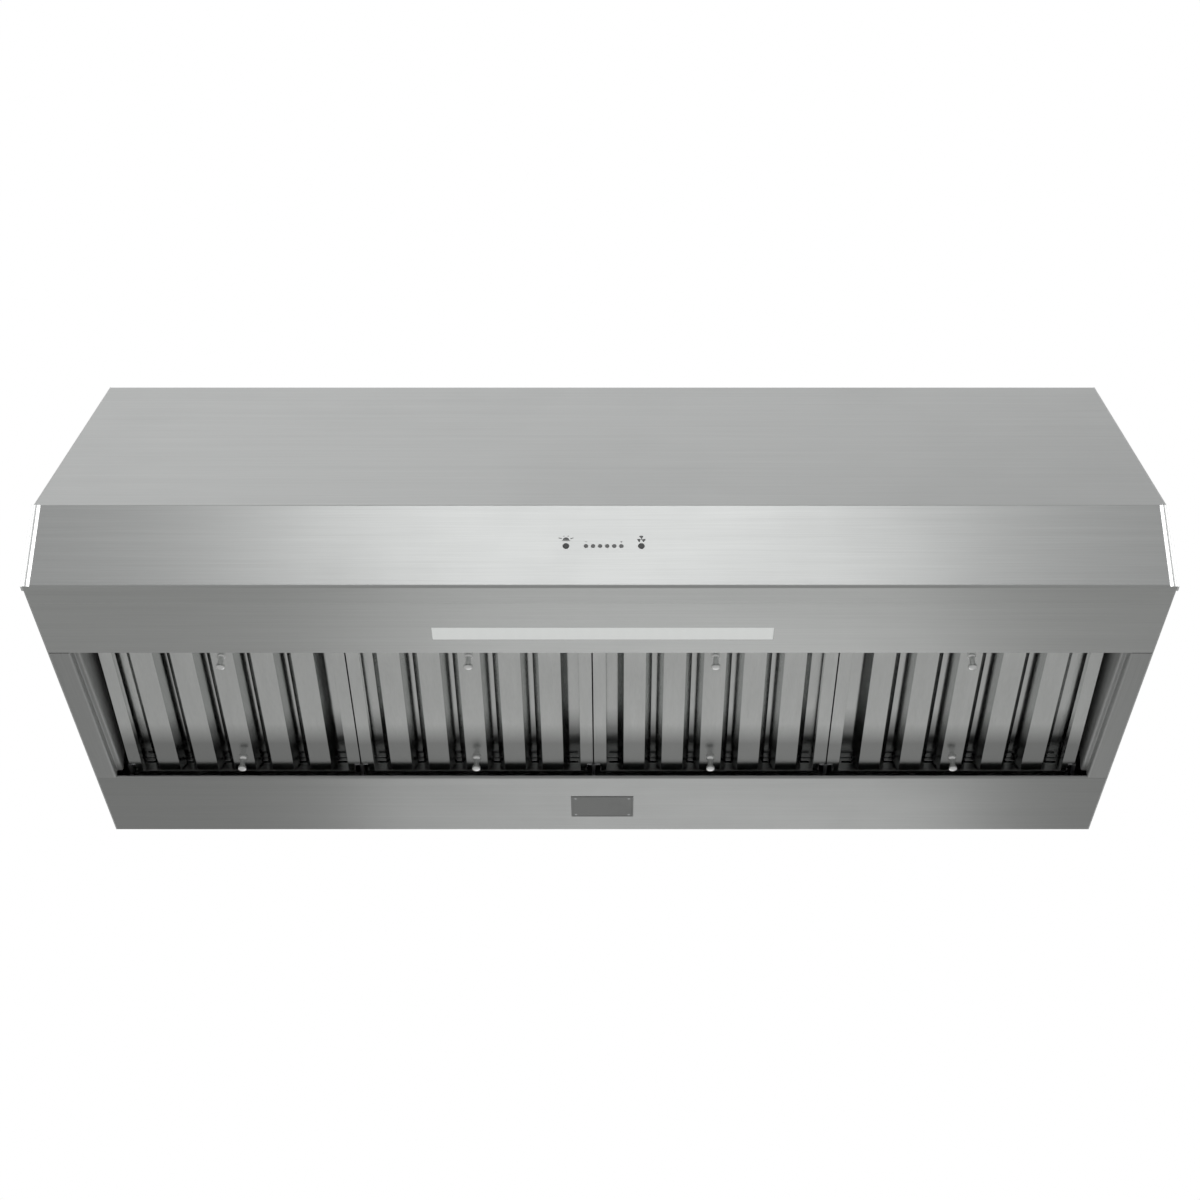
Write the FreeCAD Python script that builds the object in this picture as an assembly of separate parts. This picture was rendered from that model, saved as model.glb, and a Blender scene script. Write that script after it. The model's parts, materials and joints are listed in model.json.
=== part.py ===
import FreeCAD, Part
import math
import os

from FreeCAD import Vector

# Under cabinet range hood, in millimetres.
# Every piece is drawn from the hood's front bottom edge: X across with 0 at the middle,
# Y back from that edge, Z up from the bottom plane. On export the pieces are moved so that
# the origin is the centre of the cabinet screws, on the upper face of the top panel.

# ---- shell ----
hood_width = 1213.0          # over the two side panels
bottom_depth = 610.0         # front bottom edge to the wall
top_depth = 305.0            # depth under the cabinet
hood_height = 457.0
fascia_height = 104.0        # front bottom edge to the fold
fascia_lean = 6.0            # how far the fold stands behind the bottom edge
sheet = 1.2                  # shell sheet
bend = 1.5                   # inside radius of a shell bend
top_return = 20.0            # front panel's flange on top
bottom_return = 35.0         # front panel's flange under the hood
opening_front = 148.0        # rear face of the lip in front of the filters
rear_lip_depth = 148.0       # wall to the front face of the lip behind the filters
side_flange = 24.5           # bottom flange beside the filters
side_step = 7.0              # ledge part way up the recess wall
side_step_height = 10.0
rail_below_lip = 4.0         # recess walls are this much lower than the front lip
filter_side_gap = 8.0        # recess wall's ledge to the outermost filter
front_lip_flange = 18.0
rear_lip_height = 3.2        # short hem
trough_gap = 14.0            # rear lip to the grease trough
trough_front = 6.0           # height of the trough's front wall
trough_depth = 40.0
trough_wall = 34.0
plate_width = 76.0           # blank rating plate behind the filters
plate_depth = 56.5
plate_thick = 0.6
plate_back = 38.5            # in front of the wall
plate_corner = 3.0

# ---- end trims ----
trim_width = 8.0
trim_stand = 2.0             # how far a trim stands proud of the side
trim_cover = 1.0             # how far it stands in front of the fascia
trim_groove = 0.6

# ---- filters ----
filter_count = 4
wide_filter_extra = 20.0     # the right-hand filter is this much wider
filter_gap = 1.5             # between neighbours
filter_front_gap = 8.0       # front lip to the filters
filter_thick = 22.0
filter_rise = 31.2           # front edge above the rear edge
filter_sheet = 0.8
filter_rear_height = 12.0    # filter's underside above the bottom plane at its rear edge
filter_rear_overhang = 7.0   # rear edge behind the rear lip's front face
frame_edge = 14.75           # bottom face of the frame's side rails
frame_end = 3.0              # bottom face of the frame's end rails
frame_top_flange = 9.0
baffle_width = 25.0
baffles_per_filter = 5
baffle_leg = 12.0
baffle_splay = 7.0           # how far each leg of a lower baffle leans out
upper_inset = 6.0            # upper baffle's leg from the edge of the lower one
upper_leg = 12.0
drain_slot_length = 14.0
drain_slot_height = 3.0
knob_radius = 5.0
knob_neck_radius = 3.2
knob_length = 18.0
knob_rim = 3.0               # straight part at each end of a knob
knob_taper = 1.0
front_knob_place = 63.0      # from the filter's front edge
rear_knob_place = 34.0       # from the filter's rear edge
pivot_back = 8.0             # pivot axis in front of the filter's rear edge
pivot_up = 6.8               # pivot axis above the filter's underside
pivot_radius = 2.5
pivot_clearance = 0.05
pivot_reach = 0.5            # pin beyond the filter's notch wall
notch_width = 7.0
notch_length = 18.0
post_width = 4.0
post_foot = 24.0             # length on the trough's floor
post_crown = 5.0             # above the pin
post_cheek = 4.0             # in front of and below the pin
post_back = 12.0             # behind the pin
magnet_length = 22.0
magnet_width = 8.0
magnet_gap = 0.4
magnet_thick = 5.2
magnet_inset = 1.0           # behind the filter's front edge

# ---- lamp ----
lamp_centre = 2.7            # middle of the lamp
lamp_length = 370.0
lamp_width = 27.0
lamp_front = 89.0            # lamp opening's front edge
lens_gap = 0.3
lens_lip = 3.0
lens_thick = 2.5
lamp_housing_height = 24.0
housing_sheet = 0.8          # lamp housing and control box
board_thick = 1.6
led_board_width = 14.0
led_board_end = 2.0          # board's end from the lamp opening's end
led_count = 24
led_length = 3.6
led_width = 2.8
led_thick = 0.7
driver_gap = 45.0            # lamp opening to the driver
driver_front = 49.5
driver_length = 140.0
driver_width = 40.0
driver_height = 26.0
driver_corner = 3.0

# ---- controls on the fascia ----
control_centre = 4.0         # middle of the control row
control_height = 51.6        # up the fascia
button_spread = 80.0         # lamp button to fan button
button_radius = 3.3
button_clearance = 0.05
button_stand = 0.8
button_travel = 1.2
button_rim = 0.4             # rounding of the pressed face
button_flange = 1.7          # flange beyond the button
button_flange_thick = 1.0
button_stem = 0.5            # stem beyond the guide
indicator_count = 6
indicator_pitch = 7.5
indicator_radius = 2.2
indicator_stand = 0.3
guide_depth = 5.0
guide_end = 14.0             # guide beyond each button's middle
guide_height = 20.0
pocket_gap = 0.2             # button's flange to its pocket
control_board_gap = 5.0      # guide to the board
control_board_width = 130.0
control_board_height = 48.0
switch_size = 6.0
switch_depth = 3.0
relay_width = 40.0
relay_height = 18.0
relay_depth = 6.4
control_box_width = 150.0
control_box_height = 62.0
control_box_depth = 26.0

# ---- blowers ----
shelf_height = 150.0
shelf_flange = 18.0
shelf_front_gap = 1.0        # shelf to the sloped front's inner face
grommet_radius = 7.0
grommet_rim = 2.5
grommet_rim_thick = 2.0
grommet_inset = 40.0         # behind the sloped front
blower_spread = 680.0        # between the two blower shafts
blower_back = 190.0          # blower shafts in front of the wall
scroll_clearance = 16.0      # wheel to the scroll at the tongue
scroll_growth = 12.0         # gained each quarter turn
scroll_height = 118.0
scroll_sheet = 1.0
tongue_angle = 35.0
inlet_margin = 2.0           # inlet hole wider than the wheel's mouth
inlet_ring_flange = 18.0
inlet_ring_rise = 6.0        # ring's lip above the shelf
inlet_ring_gap = 0.5
wheel_radius = 104.0
blade_depth = 16.0           # wheel's rim to its mouth
wheel_height = 92.0
wheel_blades = 30
wheel_sheet = 1.0
wheel_bottom_gap = 8.0
hub_radius = 16.0
hub_length = 24.0
blade_angle = 28.0           # each blade leans forward by this
shaft_seat = 0.02
shaft_radius = 6.0
shaft_tip = 2.0              # shaft below the hub
shaft_clearance = 0.05
shaft_end_gap = 6.0          # shaft's top to the motor's top
motor_radius = 52.0
motor_height = 84.0
motor_hole = 30.0
motor_shoulder = 8.0
motor_cap = 5.0
motor_rib = 3.0
motor_rib_height = 5.0
motor_rib_levels = (22.0, 46.0)
bracket_leg = 14.0
bracket_thick = 2.5
bracket_screw_place = 9.0    # outside the motor
bracket_screw_radius = 3.5
bracket_screw_head = 2.5
capacitor_radius = 17.0
capacitor_length = 60.0
capacitor_rim = 2.0
capacitor_spread = 260.0
capacitor_gap = 70.0         # in front of the outlet box

# ---- outlet ----
outlet_width = 280.0
outlet_front_gap = 5.0       # box behind the front of the top panel
collar_radius = 125.0        # outside of the 10 in duct collar
collar_stand = 15.0          # above the top panel
collar_drop = 45.0           # below the top panel
collar_flange = 12.0
collar_sheet = 1.0
collar_step = 1.0            # the collar is this much wider above the top panel
collar_gap = 0.5             # top panel's hole around the collar
flap_gap = 1.5               # flap to collar
flap_thick = 0.8
flap_offset = 4.0            # each flap's hinge from the middle
flap_level = 30.0            # flap hinges below the top panel
flap_pin_radius = 1.5
flap_pin_clearance = 0.05
flap_knuckle = 2.6
seal_gap = 0.3               # closed flap to its seal
seal_height = 3.0
seal_width = 5.0
flap_tube_gap = 11.0         # knuckle's end to the collar

pin_end = 0.5                # flap pins beyond the collar

# ---- wiring ----
lead_radius = 3.0
lead_gap = 0.3               # lead to its grommet
terminal_rise = 148.8        # terminal block above the shelf
terminal_width = 68.0
terminal_depth = 18.0
terminal_height = 22.0
terminal_count = 5
terminal_pitch = 13.5
terminal_pocket = (8.0, 6.0, 14.0)

# ---- mounting ----
cabinet_spacing_x = 900.0
cabinet_spacing_y = 240.0
cabinet_hole = 3.0
wall_spacing_x = 1000.0
wall_spacing_z = 300.0
wall_hole = 3.5
wall_holes_centre = 240.0
knockout_radius = 11.1
knockout_x = 440.0
knockout_back = 48.0         # in front of the wall
junction_width = 110.0
junction_depth = 80.0
junction_height = 48.0
junction_sheet = 1.0

# ---- worked out ----
half_width = hood_width / 2
inner_half = half_width - sheet
lean_angle = math.degrees(math.atan2(fascia_lean, fascia_height))
slope_run = bottom_depth - top_depth - fascia_lean
slope_rise = hood_height - fascia_height
opening_rear = bottom_depth - rear_lip_depth
filter_row = hood_width - 2 * (side_flange + side_step + filter_side_gap)
plain_filter = (filter_row - wide_filter_extra) / filter_count
filter_rear = opening_rear + filter_rear_overhang
filter_front = opening_front + filter_front_gap
filter_slope = filter_rise / (filter_rear - filter_front)
filter_turn = math.atan(filter_slope)
filter_angle = math.degrees(filter_turn)
filter_length = (filter_rear - filter_front) / math.cos(filter_turn)
pivot_y = filter_rear - pivot_back
pivot_z = filter_rear_height + pivot_up
magnet_front = filter_front + magnet_inset
filter_above_pivot = (filter_thick - pivot_up) / math.cos(filter_turn)
magnet_low = pivot_z + (pivot_y - magnet_front) * filter_slope + filter_above_pivot + magnet_gap
front_lip_height = magnet_low + magnet_thick
rail_height = front_lip_height - rail_below_lip
duct_y = bottom_depth - top_depth / 2
top_under = hood_height - sheet
shelf_top = shelf_height + sheet
scroll_base = shelf_top
scroll_radius = wheel_radius + scroll_clearance
wheel_inner_radius = wheel_radius - blade_depth
inlet_radius = wheel_inner_radius + inlet_margin
blower_place = bottom_depth - blower_back
scroll_top = scroll_base + scroll_height
box_front = bottom_depth - top_depth + outlet_front_gap
box_rear = bottom_depth - sheet
to_origin = Vector(0, -duct_y, -hood_height)


def save(name, shape):
    placed = shape.copy()
    placed.translate(to_origin)
    placed.exportStep("parts/" + name + ".step")


def box(x0, x1, y0, y1, z0, z1):
    return Part.makeBox(x1 - x0, y1 - y0, z1 - z0, Vector(x0, y0, z0))


def rod(radius, start, end):
    along = end - start
    return Part.makeCylinder(radius, along.Length, start, along)


def group(solids):
    return Part.makeCompound(solids)


def flat_profile(points):
    """A face in the YZ plane at X 0, from (y, z) corners."""
    corners = [Vector(0, y, z) for y, z in points]
    return Part.Face(Part.makePolygon(corners + corners[:1]))


def bar(points, x0, x1):
    solid = flat_profile(points).extrude(Vector(x1 - x0, 0, 0))
    solid.translate(Vector(x0, 0, 0))
    return solid


def left_side(points, thick):
    """The same open line of (y, z) points moved by thick to its left, with mitred corners."""
    moved = []
    for i, (y, z) in enumerate(points):
        normals = []
        for a, b in ((i - 1, i), (i, i + 1)):
            if a < 0 or b >= len(points):
                continue
            dy = points[b][0] - points[a][0]
            dz = points[b][1] - points[a][1]
            length = math.hypot(dy, dz)
            normals.append((-dz / length, dy / length))
        ny = sum(n[0] for n in normals) / len(normals)
        nz = sum(n[1] for n in normals) / len(normals)
        scale = thick / (ny * ny + nz * nz)
        moved.append((y + ny * scale, z + nz * scale))
    return moved


def round_lines(solid, spots, radius):
    """Round the edges along X that pass through the given (y, z) spots."""
    found = []
    for edge in solid.Edges:
        a, b = edge.Vertexes[0].Point, edge.Vertexes[-1].Point
        for y, z in spots:
            near = abs(a.y - y) + abs(a.z - z) + abs(b.y - y) + abs(b.z - z)
            if near < 0.01 and abs(a.x - b.x) > radius:
                found.append(edge)
    return solid.makeFillet(radius, found)


def bent_sheet(points, x0, x1, thick, radius):
    """Sheet along X whose given line is one face and whose thickness is to its left."""
    other = left_side(points, thick)
    solid = bar(points + other[::-1], x0, x1)
    inner, outer = [], []
    for i in range(1, len(points) - 1):
        ay, az = points[i][0] - points[i - 1][0], points[i][1] - points[i - 1][1]
        by, bz = points[i + 1][0] - points[i][0], points[i + 1][1] - points[i][1]
        turns_left = ay * bz - az * by > 0
        inner.append(other[i] if turns_left else points[i])
        outer.append(points[i] if turns_left else other[i])
    if inner:
        solid = round_lines(solid, inner, radius)
        solid = round_lines(solid, outer, radius + thick)
    return solid


def turned(solid, y0):
    """Turn a bar along X into one along -Y that starts at y0; its Y becomes X."""
    solid.rotate(Vector(0, 0, 0), Vector(0, 0, 1), -90)
    solid.translate(Vector(0, y0, 0))
    return solid


def uprights(solid):
    return [e for e in solid.Edges if abs(e.tangentAt(e.FirstParameter).z) > 0.99]


def mirrored(shape):
    return shape.mirror(Vector(0, 0, 0), Vector(1, 0, 0))


def on_fascia(shape):
    """Lean a shape drawn against the plane Y 0 back with the fascia."""
    shape.rotate(Vector(0, 0, 0), Vector(1, 0, 0), -lean_angle)
    return shape


def slope_inside(z):
    """Where the sloped front's inner face is at height z."""
    thick_across = sheet * math.hypot(slope_run, slope_rise) / slope_rise
    return fascia_lean + (z - fascia_height) * slope_run / slope_rise + thick_across


# ---- shell ----
def side_profile():
    return [(0, 0), (fascia_lean, fascia_height), (bottom_depth - top_depth, hood_height),
            (bottom_depth, hood_height), (bottom_depth, 0)]


def make_side_panel():
    return bar(side_profile(), -half_width, -inner_half)


def make_front_panel():
    line = [(bottom_depth - top_depth + top_return, hood_height),
            (bottom_depth - top_depth, hood_height),
            (fascia_lean, fascia_height), (0, 0), (bottom_return, 0)]
    panel = bent_sheet(line, -inner_half, inner_half, sheet, bend)
    for x, radius in control_holes():
        hole = rod(radius, Vector(x, -bend, control_height), Vector(x, sheet + bend, control_height))
        panel = panel.cut(on_fascia(hole))
    return panel


def control_holes():
    """(x, radius) of each hole in the fascia's control row."""
    holes = [(x, button_radius + button_clearance) for x in button_places()]
    return holes + [(x, indicator_radius) for x in indicator_places()]


def button_places():
    return [control_centre - button_spread / 2, control_centre + button_spread / 2]


def indicator_places():
    first = control_centre - indicator_pitch * (indicator_count - 1) / 2
    return [first + indicator_pitch * i for i in range(indicator_count)]


def cabinet_screw_places():
    return [(sx * cabinet_spacing_x / 2, duct_y + sy * cabinet_spacing_y / 2)
            for sx in (-1, 1) for sy in (-1, 1)]


def make_top_panel():
    front = bottom_depth - top_depth + top_return
    panel = box(-inner_half, inner_half, front, bottom_depth - sheet, top_under, hood_height)
    through = (top_under - sheet, hood_height + sheet)
    cuts = [(x, y, cabinet_hole) for x, y in cabinet_screw_places()]
    cuts.append((0, duct_y, collar_radius + collar_gap))
    cuts.append((knockout_x, bottom_depth - knockout_back, knockout_radius))
    for x, y, radius in cuts:
        panel = panel.cut(rod(radius, Vector(x, y, through[0]), Vector(x, y, through[1])))
    return panel


def wall_screw_places():
    return [(sx * wall_spacing_x / 2, wall_holes_centre + sz * wall_spacing_z / 2)
            for sx in (-1, 1) for sz in (-1, 1)]


def make_back_panel():
    panel = box(-inner_half, inner_half, bottom_depth - sheet, bottom_depth, sheet, hood_height)
    for x, z in wall_screw_places():
        hole = rod(wall_hole, Vector(x, bottom_depth - 2 * sheet, z), Vector(x, bottom_depth + sheet, z))
        panel = panel.cut(hole)
    return panel


def make_lamp_panel():
    line = [(bottom_return, 0), (opening_front, 0), (opening_front, front_lip_height),
            (opening_front + front_lip_flange, front_lip_height)]
    panel = bent_sheet(line, -inner_half, inner_half, sheet, bend)
    half = lamp_length / 2
    return panel.cut(box(lamp_centre - half, lamp_centre + half, lamp_front, lamp_front + lamp_width,
                         -sheet, 2 * sheet))


def make_rear_panel():
    line = [(opening_rear, rear_lip_height), (opening_rear, 0), (bottom_depth, 0)]
    return bent_sheet(line, -inner_half, inner_half, sheet, bend)


def make_grease_trough():
    front = opening_rear + trough_gap
    line = [(front, trough_front), (front, sheet), (front + trough_depth, sheet),
            (front + trough_depth, trough_wall)]
    half = half_width - side_flange - side_step
    return bent_sheet(line, -half, half, sheet, bend)


def make_side_rail():
    """Bottom flange beside the filters, then the recess wall with its ledge; the left one."""
    outer, wall = -inner_half, -half_width + side_flange
    ledge = wall + side_step
    line = [(outer, 0), (wall, 0), (wall, side_step_height), (ledge, side_step_height),
            (ledge, rail_height), (ledge - side_step, rail_height)]
    rail = bent_sheet(line, 0, opening_rear - opening_front, sheet, bend)
    return turned(rail, opening_rear)


def make_end_trim():
    """Polished cap over the fascia's left end; it wraps the side panel's front edge."""
    x0 = -half_width - trim_stand
    x1 = -half_width + trim_width
    slant = math.hypot(fascia_lean, fascia_height)
    cap = box(x0, x1, -trim_cover, 0, 0, slant)
    cap = cap.fuse(box(x0, -half_width, 0, trim_width, 0, slant)).removeSplitter()
    groove_x = (x0 + x1) / 2
    cap = cap.cut(box(groove_x, groove_x + trim_groove, -trim_cover, -trim_cover / 2, 0, slant))
    return on_fascia(cap)


def make_rating_plate():
    rear = bottom_depth - plate_back
    plate = box(-plate_width / 2, plate_width / 2, rear - plate_depth, rear, -plate_thick, 0)
    return plate.makeFillet(plate_corner, uprights(plate))


# ---- filters ----
def filter_widths():
    wide = [0] * (filter_count - 1) + [wide_filter_extra]
    return [plain_filter + extra for extra in wide]


def bay_edges():
    """X of every boundary between filter bays, from the left end to the right end."""
    edges = [-filter_row / 2]
    for width in filter_widths():
        edges.append(edges[-1] + width)
    return edges


def set_filter(shape):
    """Move a piece drawn flat, pivot axis on X, into its tilted place."""
    shape.rotate(Vector(0, 0, 0), Vector(1, 0, 0), -filter_angle)
    shape.translate(Vector(0, pivot_y, pivot_z))
    return shape


def filter_box(x0, x1, rear, front, z0, z1):
    """Box in a flat filter: rear and front are distances in front of its rear edge."""
    return box(x0, x1, pivot_back - front, pivot_back - rear, z0 - pivot_up, z1 - pivot_up)


def slot_width(width):
    return (width - 2 * frame_edge - baffles_per_filter * baffle_width) / (baffles_per_filter + 1)


def baffle_starts(x0, width):
    """Left edge of each lower baffle of a filter that starts at x0."""
    slot = slot_width(width)
    first = x0 + frame_edge + slot
    return [first + i * (baffle_width + slot) for i in range(baffles_per_filter)]


def make_filter_frame(x0, x1):
    t = filter_sheet
    outer = filter_box(x0, x1, 0, filter_length, 0, filter_thick)
    hollow = filter_box(x0 + t, x1 - t, t, filter_length - t, t, filter_thick - t)
    below = filter_box(x0 + frame_edge, x1 - frame_edge, frame_end, filter_length - frame_end, -t, 2 * t)
    above = filter_box(x0 + frame_top_flange, x1 - frame_top_flange, frame_top_flange,
                       filter_length - frame_top_flange, filter_thick - 2 * t, filter_thick + t)
    frame = outer.cut(hollow).cut(below).cut(above)
    for edge in (x0 + frame_edge - t, x1 - frame_edge):
        frame = frame.fuse(filter_box(edge, edge + t, t, filter_length - t, 0, baffle_leg))
    notch_wall = notch_width + t
    for a, b, wall in ((x0, x0 + notch_width, x0 + notch_width), (x1 - notch_width, x1, x1 - notch_wall)):
        frame = frame.cut(filter_box(a, b, -t, notch_length, -t, filter_thick + t))
        frame = frame.fuse(filter_box(wall, wall + t, 0, notch_length + t, 0, filter_thick))
        frame = frame.fuse(filter_box(a, b, notch_length, notch_length + t, 0, filter_thick))
    slot = slot_width(x1 - x0)
    for start in [x0 + frame_edge] + [s + baffle_width for s in baffle_starts(x0, x1 - x0)]:
        middle = start + slot / 2
        frame = frame.cut(filter_box(middle - drain_slot_length / 2, middle + drain_slot_length / 2,
                                     -t, 2 * t, baffle_leg, baffle_leg + drain_slot_height))
    frame = frame.cut(pivot_slots(x0, x1))
    return set_filter(frame.removeSplitter())


def pivot_slots(x0, x1):
    """Open-bottomed slots in the notch walls that hang over the pivot pins."""
    r = pivot_radius + pivot_clearance
    reach = notch_width + 2 * filter_sheet
    slots = []
    for a in (x0, x1 - reach):
        eye = Part.makeCylinder(r, reach, Vector(a, 0, 0), Vector(1, 0, 0))
        slots.append(eye.fuse(box(a, a + reach, -r, r, -pivot_up - filter_sheet, 0)))
    return slots[0].fuse(slots[1])


def channel(corners):
    """Baffle running between the frame's end rails, folded along the given (x, z) corners."""
    line = corners + left_side(corners, filter_sheet)[::-1]
    rear = frame_end + filter_sheet
    spots = [Vector(x, pivot_back - rear, z - pivot_up) for x, z in line]
    face = Part.Face(Part.makePolygon(spots + spots[:1]))
    return face.extrude(Vector(0, 2 * rear - filter_length, 0))


def lower_baffles(x0, x1):
    solids = []
    for a in baffle_starts(x0, x1 - x0):
        b = a + baffle_width
        solids.append(set_filter(channel([(a - baffle_splay, baffle_leg), (a, 0), (b, 0),
                                          (b + baffle_splay, baffle_leg)])))
    return solids


def upper_baffles(x0, x1):
    slot = slot_width(x1 - x0)
    top = filter_thick - filter_sheet
    solids = []
    for s in [x0 + frame_edge] + [s + baffle_width for s in baffle_starts(x0, x1 - x0)]:
        a, b = s - upper_inset, s + slot + upper_inset
        solids.append(set_filter(channel([(b, top - upper_leg), (b, top), (a, top),
                                          (a, top - upper_leg)])))
    return solids


def make_knob(x, place):
    """Small turned knob hanging from the middle lower baffle."""
    y = pivot_back - place
    top = -pivot_up
    end = top - knob_length
    upper = top - knob_rim
    lower = end + knob_taper + knob_rim
    line = [(0, top), (knob_radius, top), (knob_radius, upper), (knob_neck_radius, upper - knob_taper),
            (knob_neck_radius, lower + knob_taper), (knob_radius, lower), (knob_radius, end + knob_taper),
            (knob_radius - knob_taper, end), (0, end)]
    corners = [Vector(r, 0, z) for r, z in line]
    face = Part.Face(Part.makePolygon(corners + corners[:1]))
    knob = face.revolve(Vector(0, 0, 0), Vector(0, 0, 1), 360)
    knob.translate(Vector(x, y, 0))
    return set_filter(knob)


def make_knobs(x0, x1):
    x = (x0 + x1) / 2
    return group([make_knob(x, rear_knob_place), make_knob(x, filter_length - front_knob_place)])


def make_pivot_posts():
    """Posts standing in the trough between the filters, each with its cross pin."""
    floor = 2 * sheet
    foot = opening_rear + trough_gap + sheet + bend
    line = [(foot, floor), (foot + post_foot, floor), (pivot_y + post_back, pivot_z + post_crown),
            (pivot_y - post_cheek, pivot_z + post_crown), (pivot_y - post_cheek, pivot_z - post_cheek),
            (foot, trough_front + post_crown)]
    reach = notch_width + filter_gap / 2 + filter_sheet + pivot_reach
    solids = []
    edges = bay_edges()
    for i, x in enumerate(edges):
        left = x - reach if i > 0 else x - post_width / 2
        right = x + reach if i < len(edges) - 1 else x + post_width / 2
        post = bar(line, x - post_width / 2, x + post_width / 2)
        pin = rod(pivot_radius, Vector(left, pivot_y, pivot_z), Vector(right, pivot_y, pivot_z))
        solids.append(post.fuse(pin).removeSplitter())
    return group(solids)


def make_magnet_catches():
    """Two magnets a filter, under the front lip's flange and just above the filter."""
    edges = bay_edges()
    solids = []
    for a, b in zip(edges, edges[1:]):
        for x in (a + (b - a) / 4, b - (b - a) / 4):
            solids.append(box(x - magnet_length / 2, x + magnet_length / 2, magnet_front,
                              magnet_front + magnet_width, magnet_low, front_lip_height))
    return group(solids)


# ---- lamp ----
def at_lamp(shape):
    """Move a piece drawn about X 0 to the lamp's middle."""
    shape.translate(Vector(lamp_centre, 0, 0))
    return shape


def make_lamp_lens():
    half = lamp_length / 2
    middle = lamp_front + lamp_width / 2
    deep = lamp_width / 2
    body = box(-half + lens_gap, half - lens_gap, middle - deep + lens_gap, middle + deep - lens_gap,
               0, sheet)
    rim = box(-half - lens_lip, half + lens_lip, middle - deep - lens_lip, middle + deep + lens_lip,
              sheet, lens_thick)
    return at_lamp(body.fuse(rim).removeSplitter())


def lamp_housing_box(inset, top):
    half = lamp_length / 2 + lens_lip + housing_sheet - inset
    deep = lamp_width / 2 + lens_lip + housing_sheet - inset
    middle = lamp_front + lamp_width / 2
    return box(-half, half, middle - deep, middle + deep, sheet, top)


def make_lamp_housing():
    top = sheet + lamp_housing_height
    case = lamp_housing_box(0, top).cut(lamp_housing_box(housing_sheet, top - housing_sheet))
    return at_lamp(case)


def make_led_board():
    top = sheet + lamp_housing_height - housing_sheet
    face = top - board_thick
    half = lamp_length / 2 - led_board_end
    middle = lamp_front + lamp_width / 2
    board = box(-half, half, middle - led_board_width / 2, middle + led_board_width / 2, face, top)
    pitch = 2 * half / led_count
    for i in range(led_count):
        x = -half + pitch * (i + 0.5)
        board = board.fuse(box(x - led_length / 2, x + led_length / 2, middle - led_width / 2,
                               middle + led_width / 2, face - led_thick, face))
    return at_lamp(board)


def driver_place():
    """x0, x1, y0, y1, z0, z1 of the lamp driver, on the lamp panel beside the lamp."""
    x0 = lamp_centre + lamp_length / 2 + driver_gap
    return (x0, x0 + driver_length, driver_front, driver_front + driver_width,
            sheet, sheet + driver_height)


def make_lamp_driver():
    case = box(*driver_place())
    return case.makeFillet(driver_corner, uprights(case))


# ---- controls ----
def fascia_rod(radius, x, y0, y1):
    return rod(radius, Vector(x, y0, control_height), Vector(x, y1, control_height))


def flange_room():
    """Depth of the pocket behind the fascia where a button's flange travels."""
    return button_flange_thick + button_travel + 4 * button_clearance


def make_button(x):
    flange = sheet + button_clearance
    button = fascia_rod(button_radius, x, -button_stand, flange + button_flange_thick)
    wide = button_radius + button_flange
    button = button.fuse(fascia_rod(wide, x, flange, flange + button_flange_thick))
    button = button.fuse(fascia_rod(button_radius / 2, x, flange, sheet + guide_depth + button_stem))
    button = button.removeSplitter()
    rim = [e for e in button.Edges if abs(e.BoundBox.YMax + button_stand) < 0.001]
    return on_fascia(button.makeFillet(button_rim, rim))


def make_button_guide():
    half = button_spread / 2 + guide_end
    block = box(control_centre - half, control_centre + half, sheet, sheet + guide_depth,
                control_height - guide_height / 2, control_height + guide_height / 2)
    pocket = button_radius + button_flange + pocket_gap
    for x in button_places():
        block = block.cut(fascia_rod(pocket, x, sheet, sheet + flange_room()))
        block = block.cut(fascia_rod(button_radius / 2 + button_clearance, x, 0, 2 * guide_depth))
    return on_fascia(block)


def make_indicators():
    return group([on_fascia(fascia_rod(indicator_radius, x, -indicator_stand, sheet))
                  for x in indicator_places()])


def make_control_board():
    face = sheet + guide_depth + control_board_gap
    back = face + board_thick
    half, tall = control_board_width / 2, control_board_height / 2
    board = box(control_centre - half, control_centre + half, face, back, control_height - tall,
                control_height + tall)
    reach = switch_size / 2
    for x in button_places():
        board = board.fuse(box(x - reach, x + reach, face - switch_depth, face, control_height - reach,
                               control_height + reach))
    board = board.fuse(box(control_centre - relay_width / 2, control_centre + relay_width / 2, back,
                           back + relay_depth, control_height - relay_height, control_height))
    return on_fascia(board.removeSplitter())


def make_control_box():
    half, tall = control_box_width / 2, control_box_height / 2
    x0, x1 = control_centre - half, control_centre + half
    z0, z1 = control_height - tall, control_height + tall
    t = housing_sheet
    case = box(x0, x1, sheet, sheet + control_box_depth, z0, z1)
    case = case.cut(box(x0 + t, x1 - t, 0, sheet + control_box_depth - t, z0 + t, z1 - t))
    return on_fascia(case)


# ---- blowers, drawn for the left side ----
def blower_x():
    return -blower_spread / 2


def throat_y():
    """Low and high y of the scroll's throat, from the blower shaft."""
    low = scroll_radius * math.sin(math.radians(tongue_angle))
    return low, scroll_radius + 3 * scroll_growth


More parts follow.
